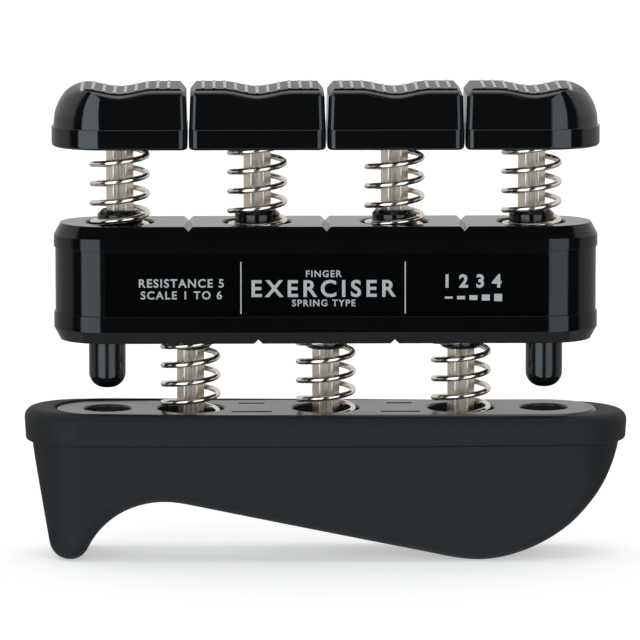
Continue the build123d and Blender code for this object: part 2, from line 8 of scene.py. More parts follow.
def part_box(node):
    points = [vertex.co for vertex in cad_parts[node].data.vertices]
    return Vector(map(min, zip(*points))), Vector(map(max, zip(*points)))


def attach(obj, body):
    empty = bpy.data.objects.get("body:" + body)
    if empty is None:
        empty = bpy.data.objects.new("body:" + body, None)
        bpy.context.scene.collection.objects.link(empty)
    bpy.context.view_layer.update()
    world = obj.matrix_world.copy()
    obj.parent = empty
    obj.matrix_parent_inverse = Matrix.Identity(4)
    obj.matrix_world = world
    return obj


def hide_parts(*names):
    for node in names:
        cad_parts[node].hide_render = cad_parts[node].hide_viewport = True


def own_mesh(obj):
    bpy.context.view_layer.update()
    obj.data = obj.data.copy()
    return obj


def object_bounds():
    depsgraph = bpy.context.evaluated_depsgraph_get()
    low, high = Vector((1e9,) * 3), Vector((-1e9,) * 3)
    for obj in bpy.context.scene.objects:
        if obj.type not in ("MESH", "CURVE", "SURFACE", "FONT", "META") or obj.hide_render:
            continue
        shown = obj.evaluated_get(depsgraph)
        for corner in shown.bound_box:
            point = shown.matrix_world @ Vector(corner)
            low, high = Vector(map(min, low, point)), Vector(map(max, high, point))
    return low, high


# The looks of a spring hand exerciser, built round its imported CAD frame. Metres, +Z up.
# The rubber grip, the springs and the label's print are modelled here. Every other piece is
# the CAD node itself with a procedural material.

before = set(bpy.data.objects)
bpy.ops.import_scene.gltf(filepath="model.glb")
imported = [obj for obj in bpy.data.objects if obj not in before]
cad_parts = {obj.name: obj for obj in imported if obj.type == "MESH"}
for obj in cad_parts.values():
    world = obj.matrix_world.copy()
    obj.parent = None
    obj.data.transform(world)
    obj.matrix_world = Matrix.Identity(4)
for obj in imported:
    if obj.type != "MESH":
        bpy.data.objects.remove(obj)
cad_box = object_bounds()
MM = 0.001

# Camera: a long lens a little above the object and slightly to its left
VIEW_AZIMUTH = radians(-1.0)
VIEW_ELEVATION = radians(7.9)
VIEW_DISTANCE = 0.8
VIEW_SENSOR = 36.0
VIEW_WIDTH = 88.9 * MM  # how much of the object's length the frame takes in
VIEW_OFFSET = Vector((-0.8, 0, -0.1)) * MM  # from the middle of the object to the aim

# Palm grip, in millimetres: the same moulding as the CAD solid, with its edges rounded
GRIP_SIZE = (83.8, 18.3)
GRIP_BOW = 0.9
RIM_STEP_END = 0.9
RIM_STEP_SIDE = 0.45
RIM_BOTTOM = 16.2
RIM_TOP = 20.5
RIM_RISE = 0.3
RIM_ROUND = 1.4
RIM_EDGE_ROUND = 0.25
RIM_FOOT_ROUND = 0.45
RIM_DRAFT = 0.15  # how much the rim narrows towards its foot, at each side
BODY_JOIN = 17.0
DRAFT = tan(radians(2.5))
FOOT_CENTRE = (-35.65, 2.84)
FOOT_RADIUS = 2.84
SIDE_SLOPE = radians(-80.1)
FOOT_TURN = radians(144.4)
ARCH = ((-29.2, 6.15), (-21.9, 8.22), (-17.5, 7.52))
RAMP_END = (13.0, 1.31)
RAMP_DIRECTION = (RAMP_END[0] - ARCH[-1][0], RAMP_END[1] - ARCH[-1][1])
HEEL = ((21.0, 0.0), (29.4, 2.05), (35.0, 6.0), (39.2, 12.0))
HEEL_DIRECTION = (0.22, 1)
EDGE_ROUND = 2.0
END_ROUND = 0.5  # what is left of the edge radius at the upright ends
EDGE_FADE = (15.0, 7.0)  # heights between which the edge radius dies out
END_FADE = (39.5, 35.0)  # distances from the middle between which it shrinks to END_ROUND
POCKET_SIZE = (75.4, 14.5)
POCKET_BOW = 0.001  # next to none: the pocket for the insert has straight sides
POCKET_TOP = 19.5
POCKET_FLOOR = 12.0

# How finely the grip is divided
FOOT_POINTS = 60
SPAN_POINTS = 40  # per span of a smooth curve
OUTLINE_POINTS = 900
PLAN_END_POINTS = 200
PLAN_SIDE_POINTS = 400
STATIONS = 260
ACROSS_BOTTOM = 8
ACROSS_ROUND = 9
ACROSS_WALL = 14
SMALL_ROUND_RINGS = 5
LARGE_ROUND_RINGS = 9
WALL_RINGS = 5
BISECTIONS = 30
SETTLING_STEPS = 5
GRADIENT_STEP = 0.004
LEAST_SLOPE = 0.2
GRIP_WELD = 0.004
SHARP_FROM = radians(40)

# Ribbed field on the buttons
FIELD_HALF = 5.7 * MM  # half its depth from front to back
FIELD_HEIGHTS = (62.5 * MM, 63.5 * MM)  # it begins between these heights
FIELD_FACING = (0.55, 0.7)  # and where the surface faces up between this much
FIELD_EDGE = 0.03 * MM
RIB_PITCH = 1.485 * MM
RIB_HALF = 0.2 * MM
RIB_SHIFTS = (0.87 * MM, 0, 0, -0.87 * MM)
RIB_COUNTS = (9, 11, 11, 9)
RIB_SOFTNESS = (0.06 * MM, -0.02 * MM)
RIB_END_SOFTNESS = 0.1 * MM

# Springs, in millimetres
WIRE = 0.8
WIRE_SIDES = 16
SPRING_OUTSIDE = 8.4
CLOSED_PITCH = 0.85
CLOSED_TURNS = (0.8, 1.2)  # the pitch opens between these turns from each end
FINGER_PITCH = 2.7
PALM_PITCH = 2.63
FINGER_PHASES = (173, 320, 227, 320)  # where each coil starts, in degrees
PALM_PHASES = (40, 338, 311)
STEPS_PER_TURN = 48

# Print on the label, in millimetres from its middle: text, x, z, letter height, spacing, boldness
PRINT_THICKNESS = 0.01 * MM
PRINT_WELD = 0.0002 * MM
LETTER_CURVE_STEPS = 6
DIVIDERS = (-11.8, 10.8)
DIVIDER_Z = -0.3
DIVIDER_SIZE = (0.17, 7.2)
PRINT_LINES = (("RESISTANCE 5", -20.0, 0.35, 1.2, 1.18, 0.02),
               ("SCALE 1 TO 6", -20.0, -1.3, 1.15, 1.22, 0.02),
               ("EXERCISER", -0.4, -0.4, 2.4, 1.34, 0.023),
               ("FINGER", -0.4, 1.65, 0.95, 1.2, 0.02),
               ("SPRING TYPE", -0.4, -2.4, 0.95, 1.2, 0.02),
               ("1 2 3 4", 20.2, 0.6, 1.9, 1.15, 0.035))
SCALE_X = 16.8
SCALE_PITCH = 1.7
SCALE_Z = -1.7
SCALE_BARS = 5
BAR_WIDTH = 1.1
FIRST_BAR = 0.3
BAR_GROWTH = 0.18

# Studio, by direction from the object in degrees: azimuth 0 is towards the camera and
# negative to its left. Each light has spans of azimuth and elevation, edge softness, strength.
SURROUNDINGS = (((-57, -13), (-50, 36), (1.5, 3), 1.7), ((10, 50), (-50, 36), (1.5, 3), 1.3))
BACKDROP_SPAN = (radians(74), radians(86))
BACKDROP_RISE = (radians(-12), radians(4))
BACKDROP_LOW = 0.45
BACKDROP_LIGHT = 0.66
ROOF_RISE = (radians(57), radians(74))
ROOF_LIGHT = 1.75
GROUND_FALL = (radians(-35), radians(-60))
GROUND_LIGHT = 0.34
AMBIENT = 0.035
LIGHT_TINT = (0.88, 1, 1.09, 1)  # of the two tall lights
FLOOR_GLOW = 0.45
FLOOR_GREY = (0.9, 0.9, 0.9, 1)
FLOOR_ROUGHNESS = 0.9
FLOOR_REACH = 4.0
FLOOR_CELLS = 8
FLOOR_HEIGHT = -0.02 * MM
WHITE = (1, 1, 1, 1)

# Materials. Noise scales are in features per metre, bump depths and edge radii in metres.
# A shade is a grey and its warmth. A roughness goes from the smoothest spots to the roughest.
NOISE_SPAN = (0.3, 0.7)  # what most of a noise texture's values lie between
RUBBER_BLOOM = 90
BLOOM_SPAN = (0.35, 0.65)
RUBBER_GRAIN = 5200
RUBBER_GRAIN_DEPTH = 0.02 * MM
RUBBER_SHADES = ((0.0088, -0.07), (0.0104, -0.06))
RUBBER_ROUGHNESS = (0.54, 0.68)
RUBBER_SPECULAR = 0.35
SMEARS = 140
SMEAR_SPAN = (0.3, 0.75)
SMEAR_CONTRAST = 0.2
RIPPLES = 260
RIPPLE_DEPTH = 0.012 * MM
PLASTIC_WARMTH = -0.08
PEBBLES = 3800
# The satin field's grey is the plastic's own tone, lifted as a painted sheen
PEBBLE_SHADE_AND_SHEEN = (0.07, 0.03)
PEBBLE_ROUGHNESS = (0.34, 0.48)
# Painted highlight: the light grey base colour of the ribs' crests
PAINTED_CREST_HIGHLIGHT = (0.6, 0.03)
INSERT_GRAIN = 4200
INSERT_GRAIN_DEPTH = 0.01 * MM
INSERT_CLOUDS = 160
INSERT_SHADES = ((0.032, -0.05), (0.038, -0.05))
INSERT_ROUGHNESS = (0.2, 0.24)
STAINS = 380
INK_COVER = 2600
INK_SHADES = ((0.47, 0.03), (0.55, 0.03))
INK_ROUGHNESS = (0.3, 0.45)
SOFT_EDGE = 0.12 * MM
BEVEL_SAMPLES = 6
MIX_FACTOR, MIX_FIRST, MIX_SECOND = 0, 6, 7  # the colour sockets of a Mix node
MIX_RESULT = 2


def weld(shape, reach):
    """Join points closer than reach, drop faces without area, and close what is left open."""
    bmesh.ops.remove_doubles(shape, verts=shape.verts, dist=reach)
    bmesh.ops.dissolve_degenerate(shape, dist=reach, edges=shape.edges)
    gaps = [edge for edge in shape.edges if edge.is_boundary]
    closed = bmesh.ops.holes_fill(shape, edges=gaps)["faces"]
    bmesh.ops.triangulate(shape, faces=closed)
    bmesh.ops.recalc_face_normals(shape, faces=shape.faces)


def collection_object(name, data):
    """A new object in the scene."""
    made = bpy.data.objects.new(name, data)
    bpy.context.scene.collection.objects.link(made)
    return made


# ---------------------------------------------------------------- camera

def make_camera():
    """The camera, aimed near the middle of the object."""
    low, high = cad_box
    aim = (low + high) / 2 + VIEW_OFFSET
    back = Vector((sin(VIEW_AZIMUTH) * cos(VIEW_ELEVATION),
                   -cos(VIEW_AZIMUTH) * cos(VIEW_ELEVATION), sin(VIEW_ELEVATION)))
    camera = collection_object("camera", bpy.data.cameras.new("camera"))
    camera.data.sensor_width = VIEW_SENSOR
    camera.data.lens = VIEW_SENSOR * VIEW_DISTANCE / VIEW_WIDTH
    camera.location = aim + back * VIEW_DISTANCE
    camera.rotation_euler = (-back).to_track_quat("-Z", "Y").to_euler()
    bpy.context.scene.camera = camera


make_camera()


# ---------------------------------------------------------------- material helpers

def fill(tree, socket, value):
    """Set a socket to a value, or link it to the socket that feeds it."""
    if isinstance(value, bpy.types.NodeSocket):
        tree.links.new(value, socket)
    else:
        socket.default_value = value


def add_node(tree, kind, inputs=None, **settings):
    """A node. Inputs are values or the sockets that feed them."""
    made = tree.nodes.new(kind)
    for name, value in settings.items():
        setattr(made, name, value)
    for socket, value in (inputs or {}).items():
        fill(tree, made.inputs[socket], value)
    return made


def math_node(tree, operation, *values):
    """The result of a Math node."""
    inputs = dict(enumerate(values))
    return add_node(tree, "ShaderNodeMath", inputs, operation=operation).outputs[0]


def ramp(tree, value, start, end, low, high):
    """A smooth step from low to high as value goes from start to end."""
    inputs = {"Value": value, "From Min": start, "From Max": end, "To Min": low, "To Max": high}
    kind = "ShaderNodeMapRange"
    return add_node(tree, kind, inputs, interpolation_type="SMOOTHSTEP").outputs["Result"]


def mix_colour(tree, share, first, second):
    """A blend of two colours."""
    made = add_node(tree, "ShaderNodeMix", data_type="RGBA")
    for number, value in ((MIX_FACTOR, share), (MIX_FIRST, first), (MIX_SECOND, second)):
        fill(tree, made.inputs[number], value)
    return made.outputs[MIX_RESULT]


def grey(value, warmth):
    """A grey, a little warmer than neutral, or colder where warmth is negative."""
    return (value * (1 + warmth), value, value * (1 - warmth), 1)


def new_material(name):
    """An empty material with its tree, a Principled shader and object coordinates."""
    material = bpy.data.materials.new(name)
    material.use_nodes = True
    tree = material.node_tree
    tree.nodes.clear()
    shader = add_node(tree, "ShaderNodeBsdfPrincipled")
    output = add_node(tree, "ShaderNodeOutputMaterial")
    tree.links.new(shader.outputs[0], output.inputs["Surface"])
    coords = add_node(tree, "ShaderNodeTexCoord").outputs["Object"]
    return material, tree, shader, coords


def noise(tree, coords, scale, detail=2.0, stretch=None):
    """Noise in object space, drawn out along the axes whose stretch is small."""
    if stretch:
        coords = add_node(tree, "ShaderNodeMapping", {"Vector": coords, "Scale": stretch})
        coords = coords.outputs[0]
    inputs = {"Vector": coords, "Scale": scale, "Detail": detail}
    return add_node(tree, "ShaderNodeTexNoise", inputs).outputs["Fac"]


def bump(tree, height, distance, strength=1.0, edge=0.0):
    """A bumped normal, on edges softened by a radius."""
    inputs = {"Height": height, "Distance": distance, "Strength": strength}
    if edge:
        soft = add_node(tree, "ShaderNodeBevel", {"Radius": edge}, samples=BEVEL_SAMPLES)
        inputs["Normal"] = soft.outputs[0]
    return add_node(tree, "ShaderNodeBump", inputs).outputs[0]


def feed(tree, shader, **sockets):
    """Set or link the shader's sockets. An underscore in a name stands for a space."""
    for name, value in sockets.items():
        fill(tree, shader.inputs[name.replace("_", " ")], value)


# ---------------------------------------------------------------- materials

def rubber():
    """Matte moulded rubber: a fine spark-eroded grain, and a slight bloom."""
    material, tree, shader, coords = new_material("grip_rubber")
    bloom = noise(tree, coords, RUBBER_BLOOM, 4)
    grain = noise(tree, coords, RUBBER_GRAIN, 3)
    colour = mix_colour(tree, ramp(tree, bloom, *BLOOM_SPAN, 0, 1),
                        *(grey(*shade) for shade in RUBBER_SHADES))
    feed(tree, shader, Base_Color=colour, Specular_IOR_Level=RUBBER_SPECULAR,
         Roughness=ramp(tree, grain, *NOISE_SPAN, *RUBBER_ROUGHNESS),
         Normal=bump(tree, grain, RUBBER_GRAIN_DEPTH, strength=0.35))
    return material


def gloss_plastic(name, base, roughness, edge=SOFT_EDGE, specular=0.5):
    """Polished black plastic: faint smears in the gloss and softened edges."""
    material, tree, shader, coords = new_material(name)
    smear = noise(tree, coords, SMEARS, 5)
    ripple = noise(tree, coords, RIPPLES, 1)
    colour = mix_colour(tree, smear, grey(base * (1 - SMEAR_CONTRAST), PLASTIC_WARMTH),
                        grey(base * (1 + SMEAR_CONTRAST), PLASTIC_WARMTH))
    feed(tree, shader, Base_Color=colour, Specular_IOR_Level=specular,
         Roughness=ramp(tree, smear, *SMEAR_SPAN, *roughness),
         Normal=bump(tree, ripple, RIPPLE_DEPTH, strength=0.5, edge=edge))
    return material, tree, shader, coords


def button_plastic(number):
    """Polished black plastic with a satin ribbed field on top, its grey partly painted sheen; the
    ribs' crests carry a painted highlight.
    """
    low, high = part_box(f"finger_button_{number}")
    material, tree, shader, coords = gloss_plastic(
        f"button_plastic_{number}", base=0.003, roughness=(0.05, 0.1), specular=0.72)
    smear_colour = shader.inputs["Base Color"].links[0].from_socket
    smear_rough = shader.inputs["Roughness"].links[0].from_socket
    place = add_node(tree, "ShaderNodeSeparateXYZ", {0: coords})
    facing = add_node(tree, "ShaderNodeNewGeometry").outputs["Normal"]
    facing = add_node(tree, "ShaderNodeSeparateXYZ", {0: facing}).outputs["Z"]
    side = math_node(tree, "ABSOLUTE", place.outputs["Y"])
    field = ramp(tree, side, FIELD_HALF + FIELD_EDGE, FIELD_HALF, 0, 1)
    field = math_node(tree, "MULTIPLY", field, ramp(tree, facing, *FIELD_FACING, 0, 1))
    field = math_node(tree, "MULTIPLY", field,
                      ramp(tree, place.outputs["Z"], *FIELD_HEIGHTS, 0, 1))
    middle = (low.x + high.x) / 2 + RIB_SHIFTS[number - 1]
    along = math_node(tree, "SUBTRACT", place.outputs["X"], middle)
    reach = RIB_COUNTS[number - 1] * RIB_PITCH / 2
    ribbed = ramp(tree, math_node(tree, "ABSOLUTE", along), reach, reach - RIB_END_SOFTNESS, 0, 1)
    along = math_node(tree, "PINGPONG", along, RIB_PITCH / 2)
    outer, inner = (RIB_HALF + soft for soft in RIB_SOFTNESS)
    # The ribs' crests get a painted highlight: a light base colour along each rib
    crest_highlight = math_node(tree, "MULTIPLY", ramp(tree, along, outer, inner, 0, 1), ribbed)
    grain = noise(tree, coords, PEBBLES, 3)
    # The field's grey base is partly the satin plastic's tone and partly painted sheen
    pebble_with_sheen = mix_colour(tree, crest_highlight, grey(*PEBBLE_SHADE_AND_SHEEN), grey(*PAINTED_CREST_HIGHLIGHT))
    colour = mix_colour(tree, field, smear_colour, pebble_with_sheen)
    satin = ramp(tree, grain, *NOISE_SPAN, *PEBBLE_ROUGHNESS)
    rough = add_node(tree, "ShaderNodeMix", {0: field, 2: smear_rough, 3: satin}).outputs[0]
    feed(tree, shader, Base_Color=colour, Roughness=rough)
    return material


def satin_plastic():
    """Satin black plastic of the insert."""
    material, tree, shader, coords = new_material("insert_plastic")
    grain = noise(tree, coords, INSERT_GRAIN, 3)
    cloud = noise(tree, coords, INSERT_CLOUDS, 4)
    colour = mix_colour(tree, cloud, *(grey(*shade) for shade in INSERT_SHADES))
    feed(tree, shader, Base_Color=colour,
         Roughness=ramp(tree, cloud, *NOISE_SPAN, *INSERT_ROUGHNESS),
         Normal=bump(tree, grain, INSERT_GRAIN_DEPTH, strength=0.4, edge=SOFT_EDGE))
    return material


def metal(name, base, warmth, roughness, scale, depth, stretch, edge=0.0):
    """Metal with fine marks, drawn out along the axes whose stretch is small."""
    material, tree, shader, coords = new_material(name)
    marks = noise(tree, coords, scale, 4, stretch)
    stain = noise(tree, coords, STAINS, 3)
    colour = mix_colour(tree, stain, grey(base, warmth), grey(base * 0.9, warmth * 1.6))
    feed(tree, shader, Base_Color=colour, Metallic=1.0,
         Roughness=ramp(tree, marks, *NOISE_SPAN, *roughness),
         Normal=bump(tree, marks, depth, strength=0.6, edge=edge))
    return material


def print_ink():
    """Light grey screen print, a little uneven in cover."""
    material, tree, shader, coords = new_material("label_print")
    cover = noise(tree, coords, INK_COVER, 3)
    colour = mix_colour(tree, cover, *(grey(*shade) for shade in INK_SHADES))
    feed(tree, shader, Base_Color=colour,
         Roughness=ramp(tree, cover, *NOISE_SPAN, *INK_ROUGHNESS))
    return material


RUBBER = rubber()
HOUSING = gloss_plastic("housing_plastic", base=0.0025, roughness=(0.06, 0.11))[0]
BUSHING = gloss_plastic("bushing_plastic", base=0.004, roughness=(0.07, 0.13), specular=0.7)[0]
POST = gloss_plastic("post_plastic", base=0.004, roughness=(0.12, 0.2), specular=0.7)[0]
FILM = gloss_plastic("label_film", base=0.001, roughness=(0.1, 0.15), edge=0.05 * MM,
                     specular=0.3)[0]
INSERT = satin_plastic()
ROD = metal("rod_steel", base=0.86, warmth=0.115, roughness=(0.24, 0.36), scale=4200,
            depth=0.004 * MM, stretch=(1, 1, 0.03), edge=0.3 * MM)
STOP = metal("stop_steel", base=0.58, warmth=0.02, roughness=(0.25, 0.4), scale=3000,
             depth=0.004 * MM, stretch=(1, 1, 1), edge=0.06 * MM)
SPRING = metal("spring_wire", base=0.84, warmth=0.07, roughness=(0.1, 0.18), scale=2500,
               depth=0.003 * MM, stretch=(1, 1, 1))
INK = print_ink()


def dress_cad_nodes():
    """Give every CAD node its material."""
    kinds = {"palm_bushing": BUSHING, "finger_bushing": BUSHING, "guide_post": POST,
             "housing": HOUSING, "front_label": FILM, "base_insert": INSERT,
             "palm_rod": ROD, "finger_rod": ROD, "palm_stop": STOP, "finger_stop": STOP,
             "palm_spring": SPRING, "finger_spring": SPRING, "palm_grip": RUBBER}
    kinds.update({f"finger_button_{n}": button_plastic(n) for n in range(1, 5)})
    for name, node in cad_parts.items():
        material = next(kinds[start] for start in kinds if name.startswith(start))
        for place in node.material_slots:
            place.material = material


dress_cad_nodes()


# ---------------------------------------------------------------- palm grip

def smooth_curve(points, start, end, count):
    """A clamped cubic spline through the points, as an array of places."""
    points = np.array(points, float)
    gaps = np.linalg.norm(np.diff(points, axis=0), axis=1)
    size = len(points)
    system, wanted = np.zeros((size, size)), np.zeros((size, 2))
    system[0, 0] = system[-1, -1] = 1
    wanted[0] = np.array(start) / np.hypot(*start)
    wanted[-1] = np.array(end) / np.hypot(*end)
    for i in range(1, size - 1):
        before, after = gaps[i - 1], gaps[i]
        system[i, i - 1:i + 2] = 1 / before, 2 / before + 2 / after, 1 / after
        wanted[i] = 3 * ((points[i] - points[i - 1]) / before ** 2
                         + (points[i + 1] - points[i]) / after ** 2)
    slopes = np.linalg.solve(system, wanted)
    made = []
    for i, gap in enumerate(gaps):
        t = np.linspace(0, 1, count, endpoint=i == size - 2)[:, None]
        ends = (2 * t ** 3 - 3 * t ** 2 + 1) * points[i] + (3 * t ** 2 - 2 * t ** 3) * points[i + 1]
        bends = (t ** 3 - 2 * t ** 2 + t) * slopes[i] + (t ** 3 - t ** 2) * slopes[i + 1]
        made.append(ends + gap * bends)
    return np.concatenate(made)


def resample(line, count):
    """The same line with evenly spaced points."""
    run = np.concatenate([[0], np.cumsum(np.linalg.norm(np.diff(line, axis=0), axis=1))])
    even = np.linspace(0, run[-1], count)
    return np.stack([np.interp(even, run, line[:, k]) for k in range(2)], 1)


def grip_outline():
    """The grip's side outline below the rim, from the foot end round to the heel end."""
    half = GRIP_SIZE[0] / 2 - RIM_STEP_END
    turn = np.linspace(SIDE_SLOPE, SIDE_SLOPE + FOOT_TURN, FOOT_POINTS) - pi / 2
    foot = np.stack([FOOT_CENTRE[0] + FOOT_RADIUS * np.cos(turn),
                     FOOT_CENTRE[1] + FOOT_RADIUS * np.sin(turn)], 1)
    leaving = (cos(SIDE_SLOPE + FOOT_TURN), sin(SIDE_SLOPE + FOOT_TURN))
    arch = smooth_curve((tuple(foot[-1]), *ARCH), leaving, RAMP_DIRECTION, SPAN_POINTS)
    heel = smooth_curve((RAMP_END, *HEEL, (half, BODY_JOIN)), RAMP_DIRECTION,
                        HEEL_DIRECTION, SPAN_POINTS)
    line = np.concatenate([[(-half, BODY_JOIN)], foot, arch[1:], heel])
    line = resample(line, OUTLINE_POINTS)
    return line[line[:, 1] < RIM_BOTTOM]


def boat(length, depth, bow=GRIP_BOW):
    """Bowed plan outline: where its round ends begin, their radius, and the sides' radius."""
    half_length, corner_y = length / 2, depth / 2 - bow
    turn = 2 * atan(bow / (half_length - corner_y))
    corner_x = half_length - corner_y / cos(turn) * (1 - sin(turn))
    end_radius = corner_y / cos(turn)
    side_radius = (corner_x ** 2 + bow ** 2) / (2 * bow)
    return half_length - end_radius, end_radius, corner_x, corner_y, side_radius


def boat_distance(x, y, length, depth):
    """How far a point lies outside the plan outline; negative inside."""
    end_x, end_radius, corner_x, corner_y, side_radius = boat(length, depth)
    x, y = np.abs(x), np.abs(y)
    end = np.hypot(x - end_x, y) - end_radius
    side = np.hypot(x, y + side_radius - depth / 2) - side_radius
    return np.where((x - end_x) * corner_y > y * (corner_x - end_x), end, side)


def boat_points(length, depth, shares, bow=GRIP_BOW):
    """Points along the front half of the plan outline, from the -X end to the +X end."""
    end_x, end_radius, corner_x, corner_y, side_radius = boat(length, depth, bow)
    angle = np.linspace(0, pi / 2 - atan((corner_x - end_x) / corner_y), PLAN_END_POINTS)
    end = np.stack([end_x + end_radius * np.cos(angle), -end_radius * np.sin(angle)], 1)
    x = np.linspace(-corner_x, corner_x, PLAN_SIDE_POINTS)[1:-1]
    side = np.stack([x, side_radius - depth / 2 - np.sqrt(side_radius ** 2 - x ** 2)], 1)
    line = np.concatenate([end * (-1, 1), side, end[::-1]])
    run = np.concatenate([[0], np.cumsum(np.linalg.norm(np.diff(line, axis=0), axis=1))])
    return np.stack([np.interp(shares * run[-1], run, line[:, k]) for k in range(2)], 1)


def smooth_share(value, none, full):
    """How far a value has come from none to full, eased at both ends."""
    share = np.clip((value - none) / (full - none), 0, 1)
    return share ** 2 * (3 - 2 * share)


def edge_round(x, z):
    """The moulding's edge radius, which dies out towards the rim and the upright ends."""
    largest = END_ROUND + (EDGE_ROUND - END_ROUND) * smooth_share(np.abs(x), *END_FADE)
    return RIM_EDGE_ROUND + (largest - RIM_EDGE_ROUND) * smooth_share(z, *EDGE_FADE)


def grip_distance(points, line, inward):
    """How far points lie outside the rounded body below the rim; negative inside."""
    x, y, z = points.T
    apart = (x[:, None] - line[:, 0]) ** 2 + (z[:, None] - line[:, 1]) ** 2
    near = apart.argmin(1)
    below = -((np.stack([x, z], 1) - line[near]) * inward[near]).sum(1)
    taper = DRAFT * (BODY_JOIN - z)
    length, depth = GRIP_SIZE[0] - 2 * RIM_STEP_END, GRIP_SIZE[1] - 2 * RIM_STEP_SIDE
    beside = boat_distance(x, y, length, depth) + taper
    radius = edge_round(x, z)
    below, beside = below + radius, beside + radius
    inside = np.minimum(np.maximum(below, beside), 0)
    return inside + np.hypot(np.maximum(below, 0), np.maximum(beside, 0)) - radius


def half_width(x, z):
    """Half the body's width at a place in its side view."""
    taper = DRAFT * (BODY_JOIN - z)
    length = GRIP_SIZE[0] - 2 * RIM_STEP_END - 2 * taper
    depth = GRIP_SIZE[1] - 2 * RIM_STEP_SIDE - 2 * taper
    low, high = np.zeros_like(x), np.full_like(x, GRIP_SIZE[1])
    for _ in range(BISECTIONS):
        middle = (low + high) / 2
        inside = np.array([boat_distance(a, b, c, d) < 0 for a, b, c, d
                           in zip(x, middle, length, depth)])
        low, high = np.where(inside, middle, low), np.where(inside, high, middle)
    return low


def grip_body(line, shares):
    """Front half of the body below the rim: a grid of stations by places across."""
    slope = np.gradient(line, axis=0)
    slope /= np.linalg.norm(slope, axis=1)[:, None]
    inward = np.stack([-slope[:, 1], slope[:, 0]], 1)
    pick = np.linspace(0, len(line) - 1, STATIONS).round().astype(int)
    base, normal = line[pick], inward[pick]
    width = half_width(base[:, 0], base[:, 1])
    radius = np.minimum(edge_round(base[:, 0], base[:, 1]), width)
    taper = 2 * DRAFT * (BODY_JOIN - RIM_BOTTOM)
    top = boat_points(GRIP_SIZE[0] - 2 * RIM_STEP_END - taper,
                      GRIP_SIZE[1] - 2 * RIM_STEP_SIDE - taper, shares)
    columns = []
    for step in range(ACROSS_BOTTOM):
        columns.append((base, (width - radius) * step / ACROSS_BOTTOM))
    for step in range(ACROSS_ROUND + 1):
        turn = pi / 2 * step / ACROSS_ROUND
        place = base + normal * (radius * (1 - cos(turn)))[:, None]
        columns.append((place, width - radius * (1 - sin(turn))))
    foot = base + normal * radius[:, None]
    for step in range(1, ACROSS_WALL):
        share = step / ACROSS_WALL
        place = foot * (1 - share) + np.stack([top[:, 0], top[:, 0] * 0 + RIM_BOTTOM], 1) * share
        columns.append((place, half_width(place[:, 0], place[:, 1])))
    columns.append((np.stack([top[:, 0], top[:, 0] * 0 + RIM_BOTTOM], 1), -top[:, 1]))
    grid = np.stack([np.stack([p[:, 0], -y, p[:, 1]], 1) for p, y in columns], 1)
    flat = grid.reshape(-1, 3)
    held = np.zeros(grid.shape[:2], bool)
    held[:, -1] = True
    held = held.ravel()
    for _ in range(SETTLING_STEPS):
        value = grip_distance(flat, line, inward)
        nudge = np.eye(3) * GRADIENT_STEP
        slopes = np.stack([(grip_distance(flat + n, line, inward) - value) / GRADIENT_STEP
                           for n in nudge], 1)
        slopes[held, 2] = 0
        size = np.maximum((slopes ** 2).sum(1), LEAST_SLOPE)
        flat -= slopes * (value / size)[:, None]
    grid = flat.reshape(grid.shape)
    grid[:, 0, 1] = 0
    grid[:, :, 1] = np.minimum(grid[:, :, 1], 0)
    grid[:, :, 2] = np.maximum(grid[:, :, 2], 0)
    return grid


def rim_rings(shares):
    """Front halves of the rings from under the rim, over its top and down into the pocket."""
    length, depth = GRIP_SIZE
    rings = []
    for turn in np.linspace(0, pi / 2, SMALL_ROUND_RINGS):
        rings.append((RIM_DRAFT + RIM_FOOT_ROUND * (1 - sin(turn)),
                      RIM_BOTTOM + RIM_FOOT_ROUND * (1 - cos(turn)), 0))
    for turn in np.linspace(0, pi / 2, LARGE_ROUND_RINGS):
        rings.append((RIM_ROUND * (1 - cos(turn)), RIM_TOP - RIM_ROUND * (1 - sin(turn)), 1))
    made = []
    for inset, height, tilted in rings:
        plan = boat_points(length - 2 * inset, depth - 2 * inset, shares)
        tilt = -tilted * RIM_RISE * plan[:, 0] / (length / 2)
        made.append(np.stack([plan[:, 0], plan[:, 1], height + tilt], 1))
    length, depth = POCKET_SIZE
    for turn in np.linspace(pi / 2, 0, SMALL_ROUND_RINGS):
        inset = -RIM_EDGE_ROUND * (1 - cos(turn))
        plan = boat_points(length - 2 * inset, depth - 2 * inset, shares, POCKET_BOW)
        tilt = -RIM_RISE * plan[:, 0] / (GRIP_SIZE[0] / 2)
        height = RIM_TOP - RIM_EDGE_ROUND * (1 - sin(turn))
        made.append(np.stack([plan[:, 0], plan[:, 1], height + tilt], 1))
    plan = boat_points(length, depth, shares, POCKET_BOW)
    for height in np.linspace(POCKET_TOP, POCKET_FLOOR, WALL_RINGS):
        made.append(np.stack([plan[:, 0], plan[:, 1], plan[:, 0] * 0 + height], 1))
    middle = made[-1] * (1, 0, 1)
    return made + [middle]


